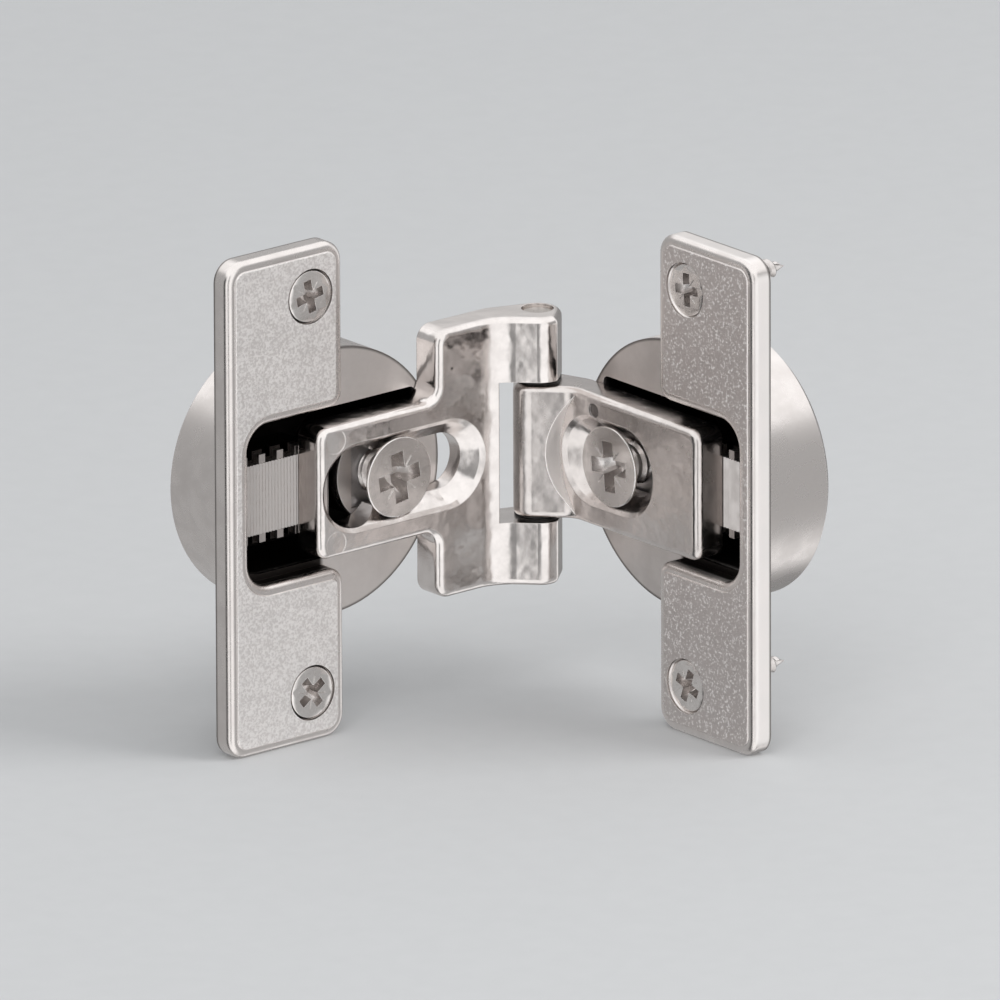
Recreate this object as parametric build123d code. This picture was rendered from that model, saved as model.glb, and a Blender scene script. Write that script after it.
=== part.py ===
from build123d import *
import math
import os

# A centre hinge for folding furniture doors: two cup castings, two arms, one pin.
# The origin is the centre of the left cup's drilling, on the door's face.
# +X runs along the left door towards the pin, +Y goes into the left door, +Z is up along the pin.
# Every leaf is drawn as the left one. The right leaf is the same drawing turned about its diagonal.

# Door drilling and cup casting
CUP_RADIUS = 17.4
CUP_DEPTH = 11.5
CUP_FLOOR = 2.0
CUP_EDGE = 1.0
FIXING_SPACING = 52.0
FIXING_SETBACK = 5.5

# Screw plate cast on the cup
PLATE_BACK_X = -18.8
PLATE_FRONT_X = -0.1
PLATE_HEIGHT = 65.0
PLATE_THICKNESS = 2.85
PLATE_CORNER = 2.8
PLATE_EDGE = 0.9
RIM_WIDTH = 1.15
FIELD_RISE = 0.15
FIELD_SLOPE = 50
NOTCH_BACK_X = -15.4
NOTCH_HALF = 10.6
NOTCH_CORNER = 3.4
NOTCH_MOUTH = 2.0

# Channel in the cup
CHANNEL_HALF = 9.8
CHANNEL_BACK_X = -15.2
CHANNEL_FRONT_X = 13.7
CHANNEL_BACK_CORNER = 3.6
CHANNEL_FRONT_CORNER = 0.9
RIB_HALF = 4.3
BOSS_R = 6.6
BRIDGE_HALF = 5.0

# Toothed strip on the rib
STRIP_TOP = 0.0
STRIP_THICKNESS = 1.2
STRIP_HALF = 4.6
STRIP_BACK_X = -14.9
STRIP_FRONT_X = -0.3
TOOTH_PITCH = 0.5
TOOTH_DEPTH = 0.2
TAB_PITCH = 2.9
TAB_FIRST_X = -13.9
TAB_COUNT = 5
TAB_WIDTH = 1.0
TAB_REACH = 1.15
SEAT_MARGIN = 0.3
SEAT_DEPTH = 1.0

# Clamp screw and its square nut
CLAMP_X = 7.6
CLAMP_HEAD_R = 5.2
CLAMP_HEAD_EDGE = 0.3
CLAMP_SHANK_R = 2.95
CLAMP_LENGTH = 10.2
NUT_SIDE = 8.6
NUT_GAP = 0.05
NUT_THICKNESS = 3.2
NUT_CORNER = 0.4
NUT_TOP = -0.3
NUT_BORE_R = 3.0
SHANK_HOLE_R = 3.3

# Cross recesses: span over the wings, width of a wing, depth
CLAMP_RECESS = (6.6, 1.9, 2.6)
FIXING_RECESS = (4.4, 1.1, 1.9)

# Fixing screws
FIXING_HEAD_R = 3.3
FIXING_HEAD_EDGE = 0.25
FIXING_NECK_R = 1.4
FIXING_SHANK_R = 1.75
FIXING_PLAIN_LENGTH = 3.6
FIXING_LENGTH = 16.0
FIXING_POINT = 3.0
LEFT_FIXING_SINK = 0.1
RIGHT_FIXING_SINK = 0.35
HOLE_GAP = 0.3
HOLE_STRAIGHT = 0.35

# Arms
ARM_FRONT = 4.3
ARM_BACK = 0.1
ARM_HALF = 8.6
LEFT_ARM_END_X = -5.4
RIGHT_ARM_END_X = -9.6
ARM_CORNER = 1.8
ARM_EDGE = 1.0
TEE_X = 13.9
TEE_CORNER = 2.0
TEE_INNER = 2.0
SLOT_RIM_HALF = 5.95
SLOT_HALF = 5.35
SLOT_RIM_DEPTH = 0.45
SLOT_THROUGH_HALF = 3.65
KEYHOLE_X = 1.0
LEFT_SLOT_END_X = 15.6
RIGHT_SLOT_X = 7.85
RIGHT_SLOT_RUN = 5.9
PAD_X = 5.0
PAD_R = 12.0
MARK_R = 1.55
MARK_X = 2.7
MARK_LEVEL = 6.7
MARK_DEPTH = 0.06
DIMPLE_R = 0.95
DIMPLE_X = 10.5
DIMPLE_LEVEL = -6.7
DIMPLE_DEPTH = 0.25

# Pin and knuckles
LEFT_PIN_X = 30.2
RIGHT_PIN_X = 21.4
PIN_HEIGHT = 4.3
PIN_R = 2.05
BORE_R = 2.12
PIN_SINK = 0.4
KNUCKLE_R = 3.05
KNUCKLE_TOP = 17.65
KNUCKLE_SPLIT = 9.25
MIDDLE_HALF = 8.7
RAMP_START = -6.8
RIDGE_START = -2.3
RIDGE_END = -0.5
RIDGE_RISE = 4.5
LEFT_RAMP_HOLLOW = 6.0
RIGHT_RAMP_HOLLOW = 2.5
RIDGE_ROUND = 0.9
RAMP_ROUND = 2.8
RECESS_START = -6.75
BACK_START = -2.7
WASHER_R = 3.0
WASHER_THICKNESS = 0.45

# A cut runs this far past the solid that it cuts
PAST = 3.0


def slab(outline, low, high):
    """An outline in the door's plane, from one height out of the door to another."""
    return extrude(Plane.XZ.offset(low) * outline, high - low)


def prism(section, bottom, top):
    """A section seen from above, from one level along the pin to another."""
    return extrude(Plane.XY.offset(bottom) * section, top - bottom)


def box_sketch(x_low, x_high, half, corner=0.0):
    """A rectangle in the door's plane, centred on the middle level."""
    width = x_high - x_low
    middle = (x_low + x_high) / 2
    if corner > 0:
        return Pos(middle, 0) * RectangleRounded(width, 2 * half, corner)
    return Pos(middle, 0) * Rectangle(width, 2 * half)


def outline(points, radii):
    """A closed outline with each corner rounded by its own radius."""
    return make_face(FilletPolyline(*points, radius=radii, close=True))


def tapered_slot(x_low, x_high, half_top, half_bottom, top, bottom):
    """A slot whose walls close in evenly from its top to its bottom."""
    run = x_high - x_low
    middle = (x_low + x_high) / 2
    wide = Plane.XZ.offset(top) * Pos(middle, 0) * SlotCenterToCenter(run, 2 * half_top)
    narrow = Plane.XZ.offset(bottom) * Pos(middle, 0) * SlotCenterToCenter(run, 2 * half_bottom)
    return loft([wide, narrow])


def cross_recess(span, width, depth):
    """A driver's cross recess with a cone-shaped bottom and fine ribs between its wings."""
    top = extrude(Rectangle(span, width), -depth) + extrude(Rectangle(width, span), -depth)
    point = Pos(0, 0, -depth / 2) * Cone(width * 0.55, span / 2, depth)
    wings = top & point
    rib = Rot(0, 0, 45) * Rectangle(span * 0.95, width * 0.16)
    ribs = extrude(rib, -depth * 0.18) + extrude(Rot(0, 0, 90) * rib, -depth * 0.18)
    return wings + ribs


def turned(profile_points):
    """A solid turned about the Z axis from half of its profile."""
    return revolve(make_face(Plane.XZ * Polyline(*profile_points, close=True)), Axis.Z)


def facing_out(part, x, height, z, spin=0.0):
    """Stands a part that was drawn along Z on the door's face, with its top outwards."""
    return Pos(x, -height, z) * Rot(90, 0, 0) * Rot(0, 0, spin) * part


def cup_casting():
    """The cup, its screw plate and its channel, cast in one."""
    cup = slab(Circle(CUP_RADIUS), -CUP_DEPTH, 0)
    cup = chamfer(cup.faces().sort_by(Axis.Y)[-1].edges(), CUP_EDGE)
    plate_sketch = outline(
        [
            (PLATE_BACK_X, -PLATE_HEIGHT / 2),
            (PLATE_FRONT_X, -PLATE_HEIGHT / 2),
            (PLATE_FRONT_X, -NOTCH_HALF),
            (NOTCH_BACK_X, -NOTCH_HALF),
            (NOTCH_BACK_X, NOTCH_HALF),
            (PLATE_FRONT_X, NOTCH_HALF),
            (PLATE_FRONT_X, PLATE_HEIGHT / 2),
            (PLATE_BACK_X, PLATE_HEIGHT / 2),
        ],
        [PLATE_CORNER, PLATE_CORNER, NOTCH_MOUTH, NOTCH_CORNER,
         NOTCH_CORNER, NOTCH_MOUTH, PLATE_CORNER, PLATE_CORNER],
    )
    rim_top = PLATE_THICKNESS - FIELD_RISE
    plate = slab(plate_sketch, 0, rim_top)
    plate = fillet(plate.faces().sort_by(Axis.Y)[0].edges(), PLATE_EDGE)
    field_sketch = Plane.XZ.offset(rim_top) * offset(plate_sketch, -RIM_WIDTH)
    field = extrude(field_sketch, FIELD_RISE, taper=FIELD_SLOPE)
    pocket_floor = CUP_FLOOR - CUP_DEPTH
    channel = slab(
        outline(
            [
                (CHANNEL_BACK_X, -CHANNEL_HALF),
                (CHANNEL_FRONT_X, -CHANNEL_HALF),
                (CHANNEL_FRONT_X, CHANNEL_HALF),
                (CHANNEL_BACK_X, CHANNEL_HALF),
            ],
            [CHANNEL_BACK_CORNER, CHANNEL_FRONT_CORNER, CHANNEL_FRONT_CORNER, CHANNEL_BACK_CORNER],
        ),
        pocket_floor,
        0,
    )
    rib_top = STRIP_TOP - STRIP_THICKNESS
    rib = slab(box_sketch(CHANNEL_BACK_X, STRIP_FRONT_X, RIB_HALF), pocket_floor, rib_top)
    boss = slab(Pos(CLAMP_X, 0) * Circle(BOSS_R), pocket_floor, 0)
    bridge = slab(box_sketch(CLAMP_X, CHANNEL_FRONT_X, BRIDGE_HALF), pocket_floor, 0)
    casting = cup - channel + plate + field + rib + boss + bridge
    casting += slab(strip_outline(SEAT_MARGIN), rib_top - SEAT_DEPTH, rib_top)
    half_nut = NUT_SIDE / 2
    casting -= slab(
        box_sketch(CLAMP_X - half_nut, CLAMP_X + half_nut, half_nut),
        NUT_TOP - NUT_THICKNESS,
        PAST,
    )
    casting -= slab(Pos(CLAMP_X, 0) * Circle(SHANK_HOLE_R), pocket_floor, 0)
    for level in (FIXING_SPACING / 2, -FIXING_SPACING / 2):
        casting -= facing_out(fixing_hole(), -FIXING_SETBACK, PLATE_THICKNESS, level)
    return casting


def fixing_hole():
    """The countersunk hole that a fixing screw is driven through."""
    wide = FIXING_HEAD_R + HOLE_GAP
    narrow = FIXING_SHANK_R + HOLE_GAP
    return turned(
        [
            (0, PAST),
            (wide, PAST),
            (wide, -HOLE_STRAIGHT),
            (narrow, -HOLE_STRAIGHT - (wide - narrow)),
            (narrow, -PLATE_THICKNESS - PAST),
            (0, -PLATE_THICKNESS - PAST),
        ]
    )


def strip_outline(margin):
    """The strip's outline with its tabs, or the slightly larger outline of its seat."""
    sketch = box_sketch(STRIP_BACK_X, STRIP_FRONT_X, STRIP_HALF + margin)
    for index in range(TAB_COUNT):
        middle = TAB_FIRST_X + index * TAB_PITCH
        half_tab = TAB_WIDTH / 2 + margin
        sketch += box_sketch(middle - half_tab, middle + half_tab, STRIP_HALF + TAB_REACH + margin)
    return sketch


def toothed_strip():
    """A hardened strip with fine teeth across its face and a row of tabs along both edges."""
    bottom = STRIP_TOP - STRIP_THICKNESS
    valley = STRIP_TOP - TOOTH_DEPTH
    strip = slab(strip_outline(0), bottom, valley)
    count = int((STRIP_FRONT_X - STRIP_BACK_X) / TOOTH_PITCH)
    crests = [(STRIP_BACK_X, -valley + TOOTH_DEPTH)]
    for tooth in range(count):
        start = STRIP_BACK_X + tooth * TOOTH_PITCH
        crests.append((start, -valley))
        crests.append((start + TOOTH_PITCH / 2, -STRIP_TOP))
    crests.append((STRIP_BACK_X + count * TOOTH_PITCH, -valley))
    crests.append((STRIP_BACK_X + count * TOOTH_PITCH, -valley + TOOTH_DEPTH))
    return strip + prism(make_face(Polyline(*crests, close=True)), -STRIP_HALF, STRIP_HALF)


def clamp_screw():
    """A countersunk machine screw. Its top is at Z 0 and its shank points down."""
    neck = CLAMP_HEAD_EDGE + CLAMP_HEAD_R - CLAMP_SHANK_R
    body = turned(
        [
            (0, 0),
            (CLAMP_HEAD_R, 0),
            (CLAMP_HEAD_R, -CLAMP_HEAD_EDGE),
            (CLAMP_SHANK_R, -neck),
            (CLAMP_SHANK_R, -CLAMP_LENGTH + 0.6),
            (CLAMP_SHANK_R - 0.6, -CLAMP_LENGTH),
            (0, -CLAMP_LENGTH),
        ]
    )
    return body - cross_recess(*CLAMP_RECESS)


def clamp_nut():
    """The square nut that the clamp screw is tightened into."""
    across = NUT_SIDE - 2 * NUT_GAP
    nut = extrude(RectangleRounded(across, across, NUT_CORNER), -NUT_THICKNESS)
    return nut - extrude(Circle(NUT_BORE_R), -NUT_THICKNESS)


def fixing_screw():
    """A countersunk wood screw. Its top is at Z 0 and its point is down."""
    neck = FIXING_HEAD_EDGE + FIXING_HEAD_R - FIXING_NECK_R
    body = turned(
        [
            (0, 0),
            (FIXING_HEAD_R, 0),
            (FIXING_HEAD_R, -FIXING_HEAD_EDGE),
            (FIXING_NECK_R, -neck),
            (FIXING_NECK_R, -FIXING_PLAIN_LENGTH),
            (FIXING_SHANK_R, -FIXING_PLAIN_LENGTH),
            (FIXING_SHANK_R, -FIXING_LENGTH + FIXING_POINT),
            (0, -FIXING_LENGTH),
        ]
    )
    return body - cross_recess(*FIXING_RECESS)


def tangent_point(pin_x, corner, turn):
    """Where a line from an outline's corner touches the barrel round the pin."""
    along = corner[0] - pin_x
    rise = -corner[1] - PIN_HEIGHT
    angle = math.atan2(rise, along) + turn * math.acos(KNUCKLE_R / math.hypot(along, rise))
    return (pin_x + KNUCKLE_R * math.cos(angle), -PIN_HEIGHT - KNUCKLE_R * math.sin(angle))


def knuckle_section(pin_x, back_x, hollow):
    """The arm seen from above: flat back, barrel round the pin, ridge, ramp and flat front."""
    back = (pin_x + BACK_START, -ARM_BACK)
    ridge_end = (pin_x + RIDGE_END, -(PIN_HEIGHT + RIDGE_RISE))
    ridge_start = (pin_x + RIDGE_START, -(PIN_HEIGHT + RIDGE_RISE))
    back_tangent = tangent_point(pin_x, back, 1)
    front_tangent = tangent_point(pin_x, ridge_end, -1)
    flanks = FilletPolyline(
        front_tangent,
        ridge_end,
        ridge_start,
        (pin_x + RAMP_START, -ARM_FRONT),
        (back_x, -ARM_FRONT),
        (back_x, -ARM_BACK),
        back,
        back_tangent,
        radius=[RIDGE_ROUND, RAMP_ROUND, hollow, 0, 0, 0],
    )
    barrel = ThreePointArc(back_tangent, (pin_x + KNUCKLE_R, -PIN_HEIGHT), front_tangent)
    return make_face([*flanks.edges(), *barrel.edges()])


def front_edges(arm, end_x):
    """The edges of the arm's flat front and outer end that the casting rounds off."""
    picked = []
    for edge in arm.edges():
        box = edge.bounding_box()
        on_front = abs(box.min.Y + ARM_FRONT) < 1e-4 and abs(box.max.Y + ARM_FRONT) < 1e-4
        if on_front and box.min.X < end_x:
            picked.append(edge)
    return picked


def countersunk_slot(x_low, x_high):
    """The slot that the clamp screw's head seats in, from its eased rim to its straight walls."""
    cone_bottom = ARM_FRONT - SLOT_RIM_DEPTH - (SLOT_HALF - SLOT_THROUGH_HALF)
    rim_bottom = ARM_FRONT - SLOT_RIM_DEPTH
    rim = tapered_slot(x_low, x_high, SLOT_RIM_HALF, SLOT_HALF, ARM_FRONT, rim_bottom)
    cone = tapered_slot(x_low, x_high, SLOT_HALF, SLOT_THROUGH_HALF, rim_bottom, cone_bottom)
    middle = (x_low + x_high) / 2
    straight = Pos(middle, 0) * SlotCenterToCenter(x_high - x_low, 2 * SLOT_THROUGH_HALF)
    opening = Pos(middle, 0) * SlotCenterToCenter(x_high - x_low, 2 * SLOT_RIM_HALF)
    above = slab(opening, ARM_FRONT, PIN_HEIGHT + RIDGE_RISE + PAST)
    return rim + cone + slab(straight, -PAST, cone_bottom) + above


def left_arm():
    """The outer arm: a bar that widens to a tee with a knuckle at each end, cast in one."""
    end = LEFT_PIN_X + KNUCKLE_R + PAST
    tee = outline(
        [
            (LEFT_ARM_END_X, -ARM_HALF),
            (TEE_X, -ARM_HALF),
            (TEE_X, -KNUCKLE_TOP),
            (end, -KNUCKLE_TOP),
            (end, KNUCKLE_TOP),
            (TEE_X, KNUCKLE_TOP),
            (TEE_X, ARM_HALF),
            (LEFT_ARM_END_X, ARM_HALF),
        ],
        [ARM_CORNER, TEE_INNER, TEE_CORNER, 0, 0, TEE_CORNER, TEE_INNER, ARM_CORNER],
    )
    section = knuckle_section(LEFT_PIN_X, LEFT_ARM_END_X - PAST, LEFT_RAMP_HOLLOW)
    arm = slab(tee, -PAST, PIN_HEIGHT + RIDGE_RISE + PAST)
    arm &= prism(section, -KNUCKLE_TOP, KNUCKLE_TOP)
    arm = fillet(front_edges(arm, LEFT_PIN_X + RAMP_START - 2), ARM_EDGE)
    recess = box_sketch(LEFT_PIN_X + RECESS_START, end + PAST, KNUCKLE_SPLIT)
    arm -= slab(recess, -PAST, PIN_HEIGHT + RIDGE_RISE + PAST)
    arm -= countersunk_slot(KEYHOLE_X, LEFT_SLOT_END_X)
    arm -= slab(Pos(KEYHOLE_X, 0) * Circle(SLOT_HALF), -PAST, ARM_FRONT)
    arm -= Pos(LEFT_PIN_X, -PIN_HEIGHT, 0) * Cylinder(PIN_R, 2 * KNUCKLE_TOP + PAST)
    for level in (MARK_LEVEL, -MARK_LEVEL):
        mark = Pos(LEFT_ARM_END_X + MARK_X, level) * Circle(MARK_R)
        arm -= slab(mark, ARM_FRONT - MARK_DEPTH, ARM_FRONT + PAST)
    return arm


def right_arm():
    """The inner arm: a bar with one wide knuckle in its middle."""
    end = RIGHT_PIN_X + KNUCKLE_R + PAST
    bar = outline(
        [
            (RIGHT_ARM_END_X, -ARM_HALF),
            (end, -MIDDLE_HALF),
            (end, MIDDLE_HALF),
            (RIGHT_ARM_END_X, ARM_HALF),
        ],
        [ARM_CORNER, 0, 0, ARM_CORNER],
    )
    section = knuckle_section(RIGHT_PIN_X, RIGHT_ARM_END_X - PAST, RIGHT_RAMP_HOLLOW)
    arm = slab(bar, -PAST, PIN_HEIGHT + RIDGE_RISE + PAST)
    arm &= prism(section, -MIDDLE_HALF, MIDDLE_HALF)
    arm = fillet(front_edges(arm, RIGHT_PIN_X + RAMP_START - 2), ARM_EDGE)
    half_run = RIGHT_SLOT_RUN / 2
    arm -= countersunk_slot(RIGHT_SLOT_X - half_run, RIGHT_SLOT_X + half_run)
    arm -= slab(Pos(PAD_X, 0) * Circle(PAD_R), ARM_FRONT, PIN_HEIGHT + RIDGE_RISE + PAST)
    arm -= Pos(RIGHT_PIN_X, -PIN_HEIGHT, 0) * Cylinder(BORE_R, 2 * MIDDLE_HALF + PAST)
    dimple = Pos(DIMPLE_X, DIMPLE_LEVEL) * Circle(DIMPLE_R)
    return arm - slab(dimple, ARM_FRONT - DIMPLE_DEPTH, ARM_FRONT + PAST)


def hinge_pin():
    """The pin, pressed into the two outer knuckles and a little below their ends."""
    pin = Cylinder(PIN_R, 2 * (KNUCKLE_TOP - PIN_SINK))
    pin = chamfer(pin.edges().filter_by(GeomType.CIRCLE), 0.3)
    return Pos(LEFT_PIN_X, -PIN_HEIGHT, 0) * pin


def knuckle_washer(side):
    """A thin plastic washer between an outer knuckle and the middle one."""
    middle = side * (MIDDLE_HALF + KNUCKLE_SPLIT) / 2
    ring = Cylinder(WASHER_R, WASHER_THICKNESS) - Cylinder(BORE_R, WASHER_THICKNESS + PAST)
    return Pos(LEFT_PIN_X, -PIN_HEIGHT, middle) * ring


def on_right_leaf(part):
    """Turns a part drawn on the left leaf on to the right leaf, which stands square to it."""
    turned_over = part.rotate(Axis((0, 0, 0), (1, 1, 0)), 180)
    return turned_over.moved(Location((LEFT_PIN_X + PIN_HEIGHT, -PIN_HEIGHT - RIGHT_PIN_X, 0)))


def cup_pieces(sink, spins):
    """The pieces that one door carries, without its arm."""
    upper_spin, lower_spin, clamp_spin = spins
    screw_height = PLATE_THICKNESS - sink
    half = FIXING_SPACING / 2
    return {
        "cup": cup_casting(),
        "toothed_strip": toothed_strip(),
        "clamp_nut": facing_out(clamp_nut(), CLAMP_X, NUT_TOP, 0),
        "clamp_screw": facing_out(clamp_screw(), CLAMP_X, ARM_FRONT, 0, clamp_spin),
        "upper_fixing_screw": facing_out(fixing_screw(), -FIXING_SETBACK, screw_height, half, upper_spin),
        "lower_fixing_screw": facing_out(fixing_screw(), -FIXING_SETBACK, screw_height, -half, lower_spin),
    }


def all_parts():
    """Every piece by its node's name."""
    parts = {}
    for name, piece in cup_pieces(LEFT_FIXING_SINK, (12, 3, 8)).items():
        parts["left_" + name] = piece
    for name, piece in cup_pieces(RIGHT_FIXING_SINK, (4, -6, 5)).items():
        side = name
        if name.startswith("upper"):
            side = name.replace("upper", "lower")
        if name.startswith("lower"):
            side = name.replace("lower", "upper")
        parts["right_" + side] = on_right_leaf(piece)
    parts["left_arm"] = left_arm()
    parts["right_arm"] = on_right_leaf(right_arm())
    parts["hinge_pin"] = hinge_pin()
    parts["upper_washer"] = knuckle_washer(1)
    parts["lower_washer"] = knuckle_washer(-1)
    return parts


os.makedirs("parts", exist_ok=True)
for node, shape in all_parts().items():
    export_step(shape, f"parts/{node}.step")
    print(node, round(shape.volume, 1))
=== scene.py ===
import math

import bmesh
import bpy
from mathutils import Matrix, Vector


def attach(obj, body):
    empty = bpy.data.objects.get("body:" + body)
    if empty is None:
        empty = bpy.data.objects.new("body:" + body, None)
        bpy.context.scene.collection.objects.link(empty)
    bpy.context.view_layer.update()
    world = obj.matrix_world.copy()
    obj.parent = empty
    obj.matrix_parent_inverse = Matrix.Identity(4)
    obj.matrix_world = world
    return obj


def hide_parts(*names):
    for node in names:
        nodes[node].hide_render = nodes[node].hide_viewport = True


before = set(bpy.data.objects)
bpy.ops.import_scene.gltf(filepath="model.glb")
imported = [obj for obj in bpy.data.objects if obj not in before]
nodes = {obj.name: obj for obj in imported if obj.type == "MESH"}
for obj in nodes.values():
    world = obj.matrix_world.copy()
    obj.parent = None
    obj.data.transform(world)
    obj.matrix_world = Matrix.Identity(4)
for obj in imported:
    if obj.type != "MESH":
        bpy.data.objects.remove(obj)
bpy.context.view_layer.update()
MM = 0.001

# The row's frame is that of the left cup: x along the left leaf towards the pin, y into its door, z up.
# The right leaf is the same parts turned, and its cup's centre stands at RIGHT_X and RIGHT_Y.
RIGHT_X, RIGHT_Y = 34.5 * MM, -25.7 * MM
right_turn = Matrix.Translation((RIGHT_X, RIGHT_Y, 0)) @ Matrix.Rotation(math.pi, 4, Vector((1, 1, 0)))


# Cup castings
# Each leaf's cup, screw plate and channel are one zinc die casting under bright nickel.
# The plate's field is blasted to a fine matt grain, its rim and edges are left smooth.

FIELD_FACE = 2.80 * MM
POCKET_FLOOR = -9.5 * MM
POCKET_REACH = 16.6 * MM
NOTCH_REACH = 10.75 * MM
CUP_REACH = 17.3 * MM
cast_nickel = (0.76, 0.72, 0.70, 1)


def new_group(name, inputs, outputs):
    """An empty shader node group with named sockets, and its input and output nodes."""
    group = bpy.data.node_groups.new(name, "ShaderNodeTree")
    for socket, kind, value in inputs:
        made = group.interface.new_socket(socket, in_out="INPUT", socket_type=kind)
        if value is not None:
            made.default_value = value
    for socket, kind in outputs:
        group.interface.new_socket(socket, in_out="OUTPUT", socket_type=kind)
    return group, group.nodes.new("NodeGroupInput"), group.nodes.new("NodeGroupOutput")


def node(tree, kind, settings=None, **sockets):
    """A node with its settings, and its input sockets given as values or as links."""
    made = tree.nodes.new(kind)
    for key, value in (settings or {}).items():
        setattr(made, key, value)
    for key, value in sockets.items():
        target = made.inputs[int(key[1:]) if key[1:].isdigit() else key.replace("_", " ")]
        if isinstance(value, bpy.types.NodeSocket):
            tree.links.new(value, target)
        else:
            target.default_value = value
    return made


def math_node(tree, operation, a, b=0.0, clamp=False):
    """The output of one Math node."""
    return node(tree, "ShaderNodeMath", {"operation": operation, "use_clamp": clamp}, s0=a, s1=b).outputs[0]


def product(tree, first, *others):
    """Several masks or values multiplied together."""
    for other in others:
        first = math_node(tree, "MULTIPLY", first, other)
    return first


def total(tree, first, *others):
    """Several values added together."""
    for other in others:
        first = math_node(tree, "ADD", first, other)
    return first


def distance(tree, a, b):
    """The length of two sides of a right angle taken together."""
    return math_node(tree, "SQRT", total(tree, product(tree, a, a), product(tree, b, b)))


def ramp(tree, value, low, high, to_low=0.0, to_high=1.0):
    """A value carried smoothly from one range to another."""
    made = node(tree, "ShaderNodeMapRange", {"interpolation_type": "SMOOTHSTEP"}, Value=value)
    made.inputs["From Min"].default_value = low
    made.inputs["From Max"].default_value = high
    made.inputs["To Min"].default_value = to_low
    made.inputs["To Max"].default_value = to_high
    return made.outputs[0]


def mix_colour(tree, factor, a, b):
    """The output of one colour Mix node."""
    made = tree.nodes.new("ShaderNodeMix")
    made.data_type = "RGBA"
    for index, value in ((0, factor), (6, a), (7, b)):
        if isinstance(value, bpy.types.NodeSocket):
            tree.links.new(value, made.inputs[index])
        else:
            made.inputs[index].default_value = value
    return made.outputs[2]


def noise(tree, place, scale, detail=3.0, roughness=0.6):
    """The grey value of one Noise node."""
    made = node(tree, "ShaderNodeTexNoise", Vector=place, Scale=scale, Detail=detail, Roughness=roughness)
    return made.outputs["Fac"]


def bumped(tree, height, strength, depth, normal=None):
    """The normal of one Bump node, laid over another normal where one is given."""
    made = node(tree, "ShaderNodeBump", Strength=strength, Distance=depth, Height=height)
    if normal is not None:
        tree.links.new(normal, made.inputs["Normal"])
    return made.outputs["Normal"]


def softened(tree, radius):
    """The normal of one Bevel node, which rounds sharp edges a little."""
    return node(tree, "ShaderNodeBevel", {"samples": 6}, Radius=radius).outputs["Normal"]


def facing_up(tree):
    """How far the surface faces up, from the normal's height."""
    geometry = tree.nodes.new("ShaderNodeNewGeometry")
    return node(tree, "ShaderNodeSeparateXYZ", Vector=geometry.outputs["Normal"]).outputs[2]


def link_surface(tree, shader, colour, roughness, normal):
    """Links a material's colour, roughness and normal to its shader."""
    tree.links.new(colour, shader.inputs["Base Color"])
    tree.links.new(roughness, shader.inputs["Roughness"])
    tree.links.new(normal, shader.inputs["Normal"])


# Plated zinc is never quite even: the plating dulls in soft clouds, with fine hairs and pits from handling.
plating, g_in, g_out = new_group(
    "plated_surface",
    [("Vector", "NodeSocketVector", None), ("Base", "NodeSocketColor", cast_nickel),
     ("Rough", "NodeSocketFloat", 0.2), ("Cloud Size", "NodeSocketFloat", 250.0),
     ("Clouding", "NodeSocketFloat", 0.1)],
    [("Color", "NodeSocketColor"), ("Roughness", "NodeSocketFloat"), ("Height", "NodeSocketFloat")],
)
clouds = noise(plating, g_in.outputs["Vector"], g_in.outputs["Cloud Size"], 4.0)
pits = noise(plating, g_in.outputs["Vector"], 2600.0, 3.0, 0.7)
dulling = product(plating, ramp(plating, clouds, 0.3, 0.7, 1.0, 0.0), g_in.outputs["Clouding"])
pitting = product(plating, ramp(plating, pits, 0.66, 0.76, 0.0, 0.35), g_in.outputs["Clouding"])
darker = math_node(plating, "MAXIMUM", dulling, pitting)
shade = mix_colour(plating, darker, g_in.outputs["Base"], (0.42, 0.38, 0.36, 1))
plating.links.new(shade, g_out.inputs["Color"])
duller = total(plating, g_in.outputs["Rough"], product(plating, dulling, 0.5))
plating.links.new(duller, g_out.inputs["Roughness"])
plating.links.new(pits, g_out.inputs["Height"])


def place_group(tree, group, **sockets):
    """A node group in a tree, with its sockets given as values or as links."""
    made = tree.nodes.new("ShaderNodeGroup")
    made.node_tree = group
    for key, value in sockets.items():
        target = made.inputs[key.replace("_", " ")]
        if isinstance(value, bpy.types.NodeSocket):
            tree.links.new(value, target)
        else:
            target.default_value = value
    return made


def plated(tree, place, base, rough, clouding, cloud_size):
    """The colour, roughness and height of a plated surface."""
    return place_group(tree, plating, Vector=place, Base=base, Rough=rough, Clouding=clouding,
                       Cloud_Size=cloud_size).outputs


def new_metal(name):
    """A material with a metallic Principled shader, and its tree, shader and Object coordinates."""
    material = bpy.data.materials.new(name)
    material.use_nodes = True
    tree = material.node_tree
    shader = tree.nodes["Principled BSDF"]
    shader.inputs["Metallic"].default_value = 1.0
    place = tree.nodes.new("ShaderNodeTexCoord").outputs["Object"]
    return material, tree, shader, place


def dress(obj, material):
    """Gives a shown object one material in place of what it has."""
    obj.data.materials.clear()
    obj.data.materials.append(material)


def leaf_left(tree, place):
    """Distances along the left leaf, out of its door and up."""
    x, y, z = node(tree, "ShaderNodeSeparateXYZ", Vector=place).outputs
    return x, math_node(tree, "MULTIPLY", y, -1.0), z


def leaf_right(tree, place):
    """Distances along the right leaf, out of its door and up."""
    x, y, z = node(tree, "ShaderNodeSeparateXYZ", Vector=place).outputs
    return math_node(tree, "SUBTRACT", y, RIGHT_Y), math_node(tree, "SUBTRACT", RIGHT_X, x), z


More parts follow.
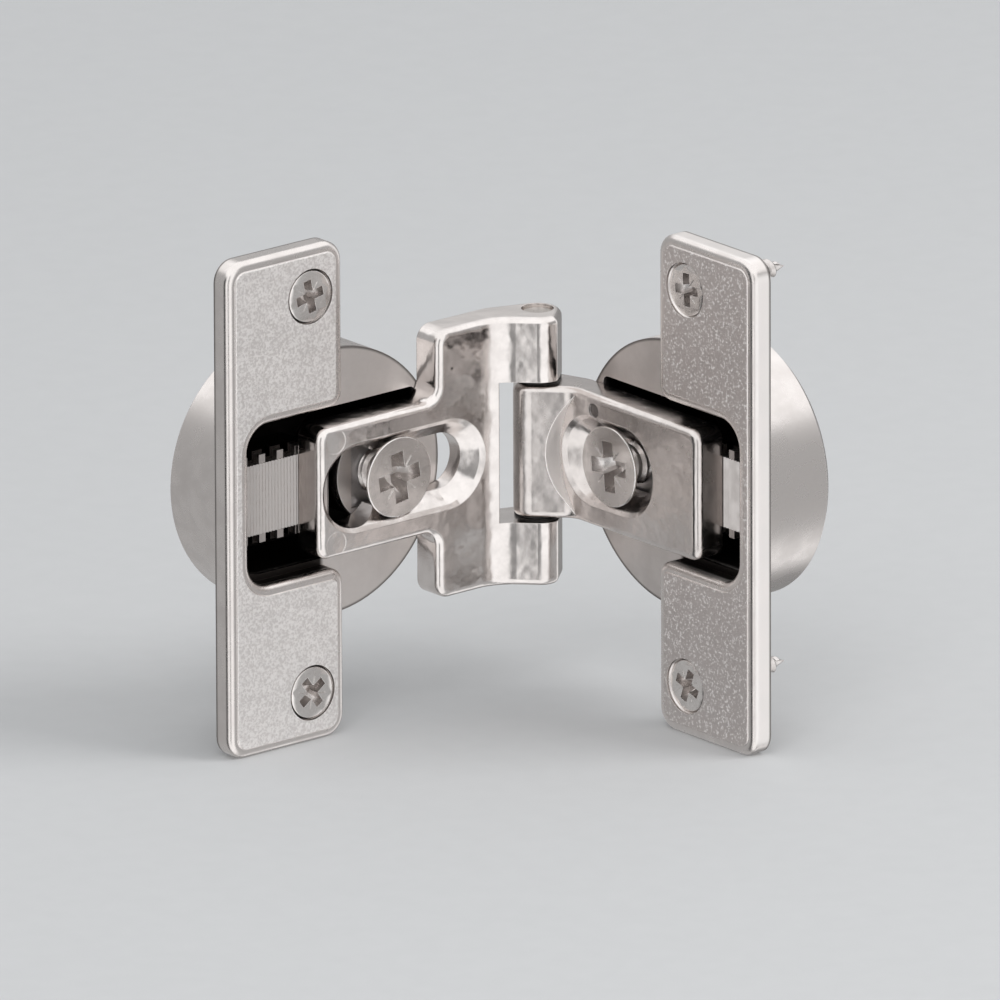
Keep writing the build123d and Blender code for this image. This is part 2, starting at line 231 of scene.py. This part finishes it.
def cup_material(name, leaf, painted_field_tone, glint_colour, glint_threshold, sparkle, end_sheen_and_dulling):
    """Cast nickel: blasted on the field's face, satin on the cup's face and edges, dull in the pocket and
    painted near black there as shade, with painted glints on the field and a painted highlight on the plate's
    top end and back edge.
    """
    material, tree, shader, place = new_metal(name)
    along, height, level = leaf(tree, place)
    aside = math_node(tree, "ABSOLUTE", level)
    reach = distance(tree, along, level)
    # Masks: the field's face, then the pocket, which is channel and notch less the rib's lighter top, where
    # painted shade goes
    field = ramp(tree, height, FIELD_FACE - 0.03 * MM, FIELD_FACE)
    over_floor = math_node(tree, "GREATER_THAN", height, POCKET_FLOOR - 0.1 * MM)
    in_cup = product(tree, math_node(tree, "LESS_THAN", reach, POCKET_REACH), over_floor)
    channel = product(tree, in_cup, ramp(tree, height, -0.2 * MM, -1.2 * MM))
    in_front = math_node(tree, "MAXIMUM", math_node(tree, "LESS_THAN", reach, CUP_REACH),
                         math_node(tree, "GREATER_THAN", height, 0.03 * MM))
    notch = product(tree, math_node(tree, "LESS_THAN", aside, NOTCH_REACH),
                    ramp(tree, along, -1.2 * MM, -2.0 * MM), ramp(tree, height, 1.75 * MM, 1.2 * MM),
                    ramp(tree, height, -0.6 * MM, -0.3 * MM), in_front,
                    ramp(tree, along, -15.75 * MM, -15.45 * MM), over_floor)
    rib = product(tree, ramp(tree, aside, 4.6 * MM, 4.2 * MM), ramp(tree, height, -1.6 * MM, -1.3 * MM),
                  ramp(tree, along, -5 * MM, -2 * MM))
    dark_places = math_node(tree, "MAXIMUM", channel, notch)
    pocket = math_node(tree, "SUBTRACT", dark_places, product(tree, rib, 0.8), True)
    # The half-moon of the cup's face beside the plate, its edge, painted dark as shade in the gap round the
    # cup, and the plate's top end and back edge, painted as a highlight
    moon = product(tree, ramp(tree, height, 0.4 * MM, 0.1 * MM), ramp(tree, height, -0.6 * MM, -0.3 * MM))
    moon_edge = product(tree, moon, ramp(tree, reach, 16.95 * MM, CUP_REACH))
    plate_side = product(tree, ramp(tree, along, -18.45 * MM, -18.75 * MM), 2.0)
    plate_end = ramp(tree, facing_up(tree), 0.8, 0.98)
    sheen_and_dulled_ends = product(tree, math_node(tree, "MAXIMUM", plate_end, plate_side), end_sheen_and_dulling)
    # Grains of the blasted field: bright facets and duller ones, their glints painted as bright, less
    # metallic specks
    surface = plated(tree, place, cast_nickel, 0.24, 0.17, 300.0)
    grain = noise(tree, place, 3300.0, 2.0)
    coarse = noise(tree, place, 1500.0, 2.0, 0.5)
    painted_glints = product(tree, ramp(tree, grain, *glint_threshold), field)
    field_with_glints = mix_colour(tree, painted_glints, painted_field_tone, glint_colour)
    tone = mix_colour(tree, field, surface["Color"], field_with_glints)
    # Painted highlight: the plate's top end and back edge are mixed towards white, and they are also made
    # rougher
    tone = mix_colour(tree, product(tree, sheen_and_dulled_ends, 2.2), tone, (1.0, 0.97, 0.955, 1))
    # Painted shade: the channel and notch are painted near black, less on the rib's top
    tone = mix_colour(tree, pocket, tone, (0.03, 0.026, 0.024, 1))
    # Painted shade along the half-moon's outer edge, where the gap round the cup would be dark
    tone = mix_colour(tree, product(tree, moon_edge, 0.75), tone, (0.08, 0.07, 0.065, 1))
    # The painted glints are made less metallic, so they stay white
    metal = math_node(tree, "SUBTRACT", 1.0, product(tree, painted_glints, sparkle))
    tree.links.new(metal, shader.inputs["Metallic"])
    dull_places = product(tree, math_node(tree, "MAXIMUM", pocket, moon), 0.14)
    rough = total(tree, surface["Roughness"], product(tree, field, 0.22), dull_places, sheen_and_dulled_ends)
    blasted = total(tree, product(tree, grain, 0.65), product(tree, coarse, 0.35))
    relief = product(tree, blasted, total(tree, product(tree, field, 0.85), 0.15))
    link_surface(tree, shader, tone, rough, bumped(tree, relief, 0.9, 0.07 * MM, softened(tree, 0.1 * MM)))
    return material


# Both cups have one finish: the left field is painted lighter with few glints, the right one darker with many
# painted glints and a painted highlight on its ends, lit and shaded copies for the light each leaf catches
dress(nodes["left_cup"], cup_material("left_cast_nickel", leaf_left, (0.80, 0.765, 0.75, 1),
                                      (0.98, 0.95, 0.935, 1), (0.38, 0.62), 0.12, 0.0))
dress(nodes["right_cup"], cup_material("right_cast_nickel", leaf_right, (0.72, 0.67, 0.65, 1),
                                       (0.95, 0.91, 0.89, 1), (0.52, 0.68), 0.65, 0.2))


# Arms
# Both arms are die castings, polished bright before they are plated, so only faint waves and marks are left.
# The left one's bar widens to a tee with two knuckles, and the right one's knuckle fits between them.


def arm_material(name, leaf, base, rough, dimple, pad):
    """Polished nickel, duller on the tee's end and the round pad's wall, with a painted highlight on the
    pad's wall and one small dimple painted dark as its shade.

    The pad is its middle along the leaf and its radius, which lies far off the metal where an arm has no pad.
    """
    material, tree, shader, place = new_metal(name)
    along, height, level = leaf(tree, place)
    surface = plated(tree, place, base, rough, 0.22, 420.0)
    tee_end = product(tree, ramp(tree, facing_up(tree), 0.8, 0.98), ramp(tree, level, 9.2 * MM, 9.8 * MM))
    centre_x, centre_z, radius = dimple
    off = distance(tree, math_node(tree, "SUBTRACT", along, centre_x),
                   math_node(tree, "SUBTRACT", level, centre_z))
    near_front = ramp(tree, height, 3.9 * MM, 4.0 * MM)
    sunk = product(tree, ramp(tree, off, radius * 1.04, radius * 0.96), near_front)
    pad_x, pad_radius = pad
    pad_reach = distance(tree, math_node(tree, "SUBTRACT", along, pad_x), level)
    off_wall = math_node(tree, "ABSOLUTE", math_node(tree, "SUBTRACT", pad_reach, pad_radius))
    pad_wall = product(tree, ramp(tree, off_wall, 0.08 * MM, 0.03 * MM),
                       ramp(tree, height, 4.35 * MM, 4.5 * MM))
    # Painted shade: the small dimple is painted dark
    tone = mix_colour(tree, product(tree, sunk, 0.85), surface["Color"], (0.16, 0.145, 0.14, 1))
    # Painted highlight: the pad's wall is mixed towards white, and it is made duller too
    tone = mix_colour(tree, pad_wall, tone, (1.0, 0.96, 0.94, 1))
    dulled = total(tree, product(tree, tee_end, 0.22), product(tree, pad_wall, 0.4))
    waved = bumped(tree, noise(tree, place, 280.0, 2.0, 0.5), 1.0, 0.14 * MM, softened(tree, 0.15 * MM))
    peeled = bumped(tree, noise(tree, place, 900.0), 0.2, 0.05 * MM, waved)
    link_surface(tree, shader, tone, total(tree, surface["Roughness"], dulled), peeled)
    return material


# Lit and shaded copies of one plating: the right arm's base is painted darker than the left's, standing in
# for the darker light it shows
dress(nodes["left_arm"], arm_material("left_polished_nickel", leaf_left, (0.78, 0.74, 0.72, 1), 0.12,
                                      (16.2 * MM, 12.5 * MM, 0.2 * MM), (5 * MM, 1.0)))
dress(nodes["right_arm"], arm_material("right_polished_nickel", leaf_right, (0.68, 0.64, 0.62, 1), 0.17,
                                       (10.5 * MM, 6.7 * MM, 0.95 * MM), (5 * MM, 12 * MM)))


# Toothed strips
# A strip of nickel-plated steel, rolled with fine teeth across it and pressed into its seat in the casting.
# The arm's back has the same teeth, and the clamp screw holds the two together.

strip_steel, tree, shader, place = new_metal("strip_steel")
surface = plated(tree, place, (0.54, 0.51, 0.495, 1), 0.3, 0.25, 600.0)
rolled = bumped(tree, noise(tree, place, 1800.0), 0.25, 0.03 * MM)
link_surface(tree, shader, surface["Color"], surface["Roughness"], rolled)
dress(nodes["left_toothed_strip"], strip_steel)
dress(nodes["right_toothed_strip"], strip_steel)


# Screws
# The fixing screws are countersunk wood screws and the clamp screws countersunk machine screws, all of steel,
# cold headed, with a cross recess and four fine radial marks between its wings, and nickel-plated.

screw_nickel, tree, shader, place = new_metal("screw_nickel")
surface = plated(tree, place, (0.80, 0.77, 0.75, 1), 0.16, 0.25, 500.0)
drawn = bumped(tree, surface["Height"], 0.15, 0.03 * MM, softened(tree, 0.1 * MM))
link_surface(tree, shader, surface["Color"], surface["Roughness"], drawn)

# The recess and shank: the screws' nickel painted darker, as shade in the cross recess and round the shank in
# its hole
screw_recess, tree, shader, place = new_metal("screw_recess")
surface = plated(tree, place, (0.74, 0.71, 0.695, 1), 0.2, 0.5, 900.0)
pitted = bumped(tree, surface["Height"], 0.3, 0.03 * MM)
link_surface(tree, shader, surface["Color"], surface["Roughness"], pitted)


def cut_plane(bm, point, normal):
    """Cuts every face of a mesh along one plane."""
    everything = bm.verts[:] + bm.edges[:] + bm.faces[:]
    bmesh.ops.bisect_plane(bm, geom=everything, plane_co=point, plane_no=normal)


def cross_recess(bm, span, width, depth, mark_reach):
    """Sinks a cross and four fine radial marks into the flat top of a head."""
    half_span, half_width, half_mark = span / 2, width / 2, width * 0.05
    slant = math.sqrt(0.5)
    for axis in (Vector((1, 0, 0)), Vector((0, 1, 0))):
        for reach in (half_span, half_width):
            cut_plane(bm, axis * reach, axis)
            cut_plane(bm, -axis * reach, axis)
    for axis in (Vector((slant, slant, 0)), Vector((slant, -slant, 0))):
        for reach in (half_mark, mark_reach):
            cut_plane(bm, axis * reach, axis)
            cut_plane(bm, -axis * reach, axis)
    wings, marks = [], []
    for face in bm.faces:
        middle = face.calc_center_median()
        x, y = abs(middle.x), abs(middle.y)
        low, high = sorted((abs(middle.x + middle.y) * slant, abs(middle.x - middle.y) * slant))
        if min(x, y) < half_width and max(x, y) < half_span:
            wings.append(face)
        elif low < half_mark and high < mark_reach:
            marks.append(face)
    sink(bm, marks, -width * 0.07, 1.0)
    for narrower in (0.95, 0.82, 0.62):
        wings = sink(bm, wings, -depth / 3, narrower)
    # Faces below the head's top take the second material, painted darker as shade in the recess
    for face in bm.faces:
        face.material_index = int(face.calc_center_median().z < -depth * 0.1)


def sink(bm, faces, drop, narrower):
    """Pushes faces down with walls round them, drawn in towards the middle, and returns them."""
    grown = bmesh.ops.extrude_face_region(bm, geom=faces)
    bmesh.ops.delete(bm, geom=faces, context="FACES")
    corners = [item for item in grown["geom"] if isinstance(item, bmesh.types.BMVert)]
    bmesh.ops.translate(bm, verts=corners, vec=(0, 0, drop))
    bmesh.ops.scale(bm, verts=corners, vec=(narrower, narrower, 1))
    return [item for item in grown["geom"] if isinstance(item, bmesh.types.BMFace)]


def turned_down(bm, loop, profile):
    """Carries a ring of edges down through radius and level pairs, as a lathe would shape it."""
    radius = max(corner.co.xy.length for edge in loop for corner in edge.verts)
    for new_radius, level in profile:
        grown = bmesh.ops.extrude_edge_only(bm, edges=loop)
        corners = [item for item in grown["geom"] if isinstance(item, bmesh.types.BMVert)]
        loop = [item for item in grown["geom"] if isinstance(item, bmesh.types.BMEdge)
                and all(corner in corners for corner in item.verts)]
        for corner in corners:
            corner.co.z = level
        bmesh.ops.scale(bm, verts=corners, vec=(new_radius / radius, new_radius / radius, 1))
        radius = new_radius
    bmesh.ops.holes_fill(bm, edges=loop)


def thread(bm, core, crest, pitch, start, end):
    """Winds a closed vee ridge round the shank from one level down to another."""
    ring_steps = 28
    turns = (start - end - pitch) / pitch
    sunk = core - 0.06 * MM
    outline = ((sunk, 0), (crest, 0.36), (crest, 0.44), (sunk, 0.8))
    corners = [bm.verts.new((radius, 0, start - pitch * drop)) for radius, drop in outline]
    ridge = bm.faces.new(corners)
    bmesh.ops.spin(bm, geom=[ridge], cent=(0, 0, 0), axis=(0, 0, -1), angle=math.tau * turns,
                   steps=int(ring_steps * turns), dvec=(0, 0, -pitch / ring_steps))


HEAD_CHAMFER = 0.12 * MM
SHANK_START = -2.2 * MM


def screw(name, node_name, body, stand, sizes):
    """One screw with its recess, head, shank and thread, stood in its hole."""
    bm = bmesh.new()
    bmesh.ops.create_circle(bm, cap_ends=True, segments=64, radius=sizes["head"] - HEAD_CHAMFER)
    cross_recess(bm, *sizes["recess"])
    rim = [edge for edge in bm.edges if edge.is_boundary]
    turned_down(bm, rim, sizes["profile"])
    thread(bm, sizes["core"], sizes["crest"], sizes["pitch"], sizes["thread_start"], sizes["thread_end"])
    for corner in bm.verts:
        if corner.co.z < sizes["point_start"]:
            reach = (corner.co.z - sizes["point_start"]) / (sizes["thread_end"] - sizes["point_start"])
            slim = 1 - sizes["point_taper"] * min(reach, 1)
            corner.co.x *= slim
            corner.co.y *= slim
    # The shank and thread take the recess's duller plating, painted darker as shade
    for face in bm.faces:
        if face.calc_center_median().z < SHANK_START:
            face.material_index = 1
    bmesh.ops.recalc_face_normals(bm, faces=bm.faces[:])
    bmesh.ops.transform(bm, matrix=stand, verts=bm.verts[:])
    mesh = bpy.data.meshes.new(name)
    bm.to_mesh(mesh)
    bm.free()
    obj = bpy.data.objects.new(name, mesh)
    bpy.context.scene.collection.objects.link(obj)
    mesh.set_sharp_from_angle(angle=math.radians(32))
    mesh.materials.append(screw_nickel)
    mesh.materials.append(screw_recess)
    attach(obj, body)
    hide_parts(node_name)


fixing_sizes = {
    "head": 3.3 * MM, "recess": (4.3 * MM, 1.2 * MM, 1.8 * MM, 2.1 * MM),
    "profile": [(3.3 * MM, -0.07 * MM), (3.3 * MM, -0.25 * MM), (1.5 * MM, -2.05 * MM),
                (1.24 * MM, -2.4 * MM), (1.24 * MM, -12.6 * MM), (1.1 * MM, -14.2 * MM),
                (0.3 * MM, -15.9 * MM)],
    "core": 1.24 * MM, "crest": 1.74 * MM, "pitch": 1.35 * MM,
    "thread_start": -3.0 * MM, "thread_end": -15.6 * MM, "point_start": -12.4 * MM, "point_taper": 0.8,
}
clamp_sizes = {
    "head": 5.2 * MM, "recess": (6.6 * MM, 2.0 * MM, 2.5 * MM, 3.1 * MM),
    "profile": [(5.2 * MM, -0.08 * MM), (5.2 * MM, -0.3 * MM), (2.6 * MM, -2.85 * MM), (2.45 * MM, -3.1 * MM),
                (2.45 * MM, -9.6 * MM), (1.9 * MM, -10.15 * MM)],
    "core": 2.45 * MM, "crest": 2.93 * MM, "pitch": 1.0 * MM,
    "thread_start": -3.0 * MM, "thread_end": -10.0 * MM, "point_start": -9.2 * MM, "point_taper": 0.12,
}


def stood(x, height, z, spin):
    """Where a screw drawn along Z stands on the left leaf, with its top facing out of the door."""
    turned = Matrix.Rotation(math.radians(90), 4, "X") @ Matrix.Rotation(math.radians(spin), 4, "Z")
    return Matrix.Translation((x * MM, -height * MM, z * MM)) @ turned


# Where the heads' tops stand on a leaf, in mm: along it, and out of the door
FIXING_X, LEFT_FIXING_TOP, RIGHT_FIXING_TOP = -5.5, 2.75, 2.5
CLAMP_X, CLAMP_TOP = 7.6, 4.3

for level, place_name, spin in ((26, "upper", 12), (-26, "lower", 35)):
    screw(f"left_{place_name}_wood_screw", f"left_{place_name}_fixing_screw", "left_cup",
          stood(FIXING_X, LEFT_FIXING_TOP, level, spin), fixing_sizes)
for level, place_name, spin in ((-26, "upper", 4), (26, "lower", -20)):
    screw(f"right_{place_name}_wood_screw", f"right_{place_name}_fixing_screw", "right_cup",
          right_turn @ stood(FIXING_X, RIGHT_FIXING_TOP, level, spin), fixing_sizes)
screw("left_machine_screw", "left_clamp_screw", "left_clamp_screw",
      stood(CLAMP_X, CLAMP_TOP, 0, 8), clamp_sizes)
screw("right_machine_screw", "right_clamp_screw", "right_clamp_screw",
      right_turn @ stood(CLAMP_X, CLAMP_TOP, 0, 5), clamp_sizes)


# Clamp nuts
# Square pressed nuts of zinc-plated steel, dropped in a pocket of the casting under each strip.
# The pocket keeps them from turning as the clamp screw is tightened.

zinced, tree, shader, place = new_metal("zinced_steel")
surface = plated(tree, place, (0.66, 0.66, 0.67, 1), 0.32, 0.3, 900.0)
pitted = bumped(tree, surface["Height"], 0.3, 0.04 * MM)
link_surface(tree, shader, surface["Color"], surface["Roughness"], pitted)
dress(nodes["left_clamp_nut"], zinced)
dress(nodes["right_clamp_nut"], zinced)


# Hinge pin
# One steel pin, turned and parted off, pressed through the left arm's knuckles.
# The parting tool leaves fine rings on its ends.

pin_steel, tree, shader, place = new_metal("pin_steel")
pin_x, pin_y = 30.2 * MM, -4.3 * MM
about_pin = node(tree, "ShaderNodeMapping", Vector=place, Location=(-pin_x, -pin_y, 0)).outputs[0]
rings = node(tree, "ShaderNodeTexWave", {"wave_type": "RINGS", "rings_direction": "Z"}, Vector=about_pin,
             Scale=900.0, Distortion=1.5, Detail=2.0).outputs["Fac"]
surface = plated(tree, place, (0.66, 0.62, 0.59, 1), 0.26, 0.4, 900.0)
ringed = mix_colour(tree, product(tree, rings, 0.3), surface["Color"], (0.4, 0.36, 0.33, 1))
link_surface(tree, shader, ringed, surface["Roughness"], bumped(tree, rings, 0.3, 0.02 * MM))
dress(nodes["hinge_pin"], pin_steel)


# Washers
# Thin black plastic washers, one round the pin in each gap between the knuckles.
# They keep the knuckles' ends from rubbing on each other.

black_plastic = bpy.data.materials.new("black_plastic")
black_plastic.use_nodes = True
tree = black_plastic.node_tree
shader = tree.nodes["Principled BSDF"]
place = tree.nodes.new("ShaderNodeTexCoord").outputs["Object"]
moulded = noise(tree, place, 2200.0)
tone = mix_colour(tree, moulded, (0.02, 0.02, 0.02, 1), (0.045, 0.044, 0.042, 1))
rough = ramp(tree, moulded, 0.3, 0.7, 0.4, 0.55)
link_surface(tree, shader, tone, rough, bumped(tree, moulded, 0.2, 0.02 * MM))
dress(nodes["upper_washer"], black_plastic)
dress(nodes["lower_washer"], black_plastic)


# Floor and surround
# A plain pale studio sheet that the hinge stands on by its two plates' lower ends.
# Metal reflects the studio round it instead: white cards by the camera and overhead, grey and black between.

surround, g_in, g_out = new_group("studio_surround", [("Direction", "NodeSocketVector", None)],
                                  [("Color", "NodeSocketColor")])
split = node(surround, "ShaderNodeSeparateXYZ", Vector=g_in.outputs["Direction"]).outputs
bearing = math_node(surround, "ARCTAN2", split[0], math_node(surround, "MULTIPLY", split[1], -1.0))
# Each card: bearings from and to in degrees, how soft its ends are, lowest and highest sine of elevation,
# brightness
cards = (
    (-82, 16, 7, -1.2, 0.9, 1.25),
    (-118, -90, 6, -1.2, 0.35, 0.04),
    (-51, -35, 5, -0.5, 0.5, 0.3),
    (58, 92, 7, -1.2, 0.6, 1.1),
    (102, 138, 8, -1.2, 0.25, 0.3),
    (-180, 180, 4, 0.5, 1.2, 1.3),
)
brightness = 0.48
for start, end, soft, low, high, card_brightness in cards:
    inside = product(surround,
                     ramp(surround, bearing, math.radians(start - soft), math.radians(start + soft)),
                     ramp(surround, bearing, math.radians(end + soft), math.radians(end - soft)))
    between = product(surround, ramp(surround, split[2], low - 0.06, low + 0.06),
                      ramp(surround, split[2], high + 0.06, high - 0.06))
    lift = math_node(surround, "SUBTRACT", card_brightness, brightness)
    brightness = total(surround, product(surround, inside, between, lift), brightness)
grey = node(surround, "ShaderNodeCombineColor", s0=brightness, s1=brightness, s2=brightness).outputs[0]
surround.links.new(grey, g_out.inputs["Color"])

FLOOR_LEVEL = -32.5 * MM
floor_bm = bmesh.new()
bmesh.ops.create_grid(floor_bm, x_segments=1, y_segments=1, size=1.6)
bmesh.ops.translate(floor_bm, verts=floor_bm.verts[:], vec=(0.02, 0, FLOOR_LEVEL))
floor_mesh = bpy.data.meshes.new("studio_floor")
floor_bm.to_mesh(floor_mesh)
floor_bm.free()
floor = bpy.data.objects.new("studio_floor", floor_mesh)
bpy.context.scene.collection.objects.link(floor)
paper = bpy.data.materials.new("pale_paper")
paper.use_nodes = True
tree = paper.node_tree
shader = tree.nodes["Principled BSDF"]
shader.inputs["Roughness"].default_value = 0.9
place = tree.nodes.new("ShaderNodeTexCoord").outputs["Object"]
fibre = noise(tree, place, 300.0, 4.0, 0.5)
tone = mix_colour(tree, fibre, (0.60, 0.605, 0.61, 1), (0.63, 0.635, 0.64, 1))
tree.links.new(tone, shader.inputs["Base Color"])
incoming = tree.nodes.new("ShaderNodeNewGeometry").outputs["Incoming"]
outward = node(tree, "ShaderNodeVectorMath", {"operation": "SCALE"}, s0=incoming, Scale=-1.0).outputs[0]
reflected = node(tree, "ShaderNodeEmission", Color=place_group(tree, surround, Direction=outward).outputs[0])
both = node(tree, "ShaderNodeMixShader", s0=tree.nodes.new("ShaderNodeLightPath").outputs["Is Glossy Ray"],
            s1=shader.outputs[0], s2=reflected.outputs[0])
tree.links.new(both.outputs[0], tree.nodes["Material Output"].inputs["Surface"])
dress(floor, paper)


# Light
# Soft studio light: an even pale surround and two large lamps above, which give the soft shadow on the floor.

world = bpy.data.worlds.new("studio")
bpy.context.scene.world = world
world.use_nodes = True
tree = world.node_tree
background = tree.nodes["Background"]
light_path = tree.nodes.new("ShaderNodeLightPath").outputs
direction = tree.nodes.new("ShaderNodeTexCoord").outputs["Generated"]
cards_seen = place_group(tree, surround, Direction=direction).outputs[0]
seen = mix_colour(tree, light_path["Is Glossy Ray"], (0.62, 0.63, 0.64, 1), cards_seen)
tree.links.new(seen, background.inputs["Color"])
background.inputs["Strength"].default_value = 1.0


def lamp(name, place, aim, size, power):
    """One large soft lamp turned towards a point, not seen in the metal itself."""
    light = bpy.data.lights.new(name, "AREA")
    light.shape = "RECTANGLE"
    light.size, light.size_y = size
    light.energy = power
    obj = bpy.data.objects.new(name, light)
    obj.location = place
    obj.rotation_euler = (Vector(aim) - Vector(place)).to_track_quat("-Z", "Y").to_euler()
    obj.visible_glossy = False
    bpy.context.scene.collection.objects.link(obj)


lamp("key_lamp", (0.55, -0.65, 0.75), (0.02, -0.01, 0), (0.6, 0.5), 5.0)
lamp("fill_lamp", (-0.5, -0.4, 0.8), (0.02, -0.01, 0), (0.5, 0.5), 2.0)


# Camera
# A long lens a good way off, looking down a little at the corner between the leaves.

AZIMUTH, ELEVATION, ROLL = math.radians(-39.805), math.radians(17.702), math.radians(-0.205)
DISTANCE, FOCAL = 3868.232 * MM, 30.87393
back = Vector((math.sin(AZIMUTH) * math.cos(ELEVATION), -math.cos(AZIMUTH) * math.cos(ELEVATION),
               math.sin(ELEVATION)))
across = Vector((math.cos(AZIMUTH), math.sin(AZIMUTH), 0))
upward = back.cross(across)
aim = across * 21.162 * MM + upward * -2.434 * MM
camera_data = bpy.data.cameras.new("camera")
camera_data.sensor_width = 36
camera_data.lens = 36 * FOCAL
camera_data.clip_start = 0.1
camera_data.clip_end = 20
camera = bpy.data.objects.new("camera", camera_data)
turn = Matrix((across, upward, back)).transposed().to_4x4()
camera.matrix_world = Matrix.Translation(aim + back * DISTANCE) @ turn @ Matrix.Rotation(ROLL, 4, "Z")
bpy.context.scene.collection.objects.link(camera)
bpy.context.scene.camera = camera
bpy.context.scene.view_settings.view_transform = "Standard"
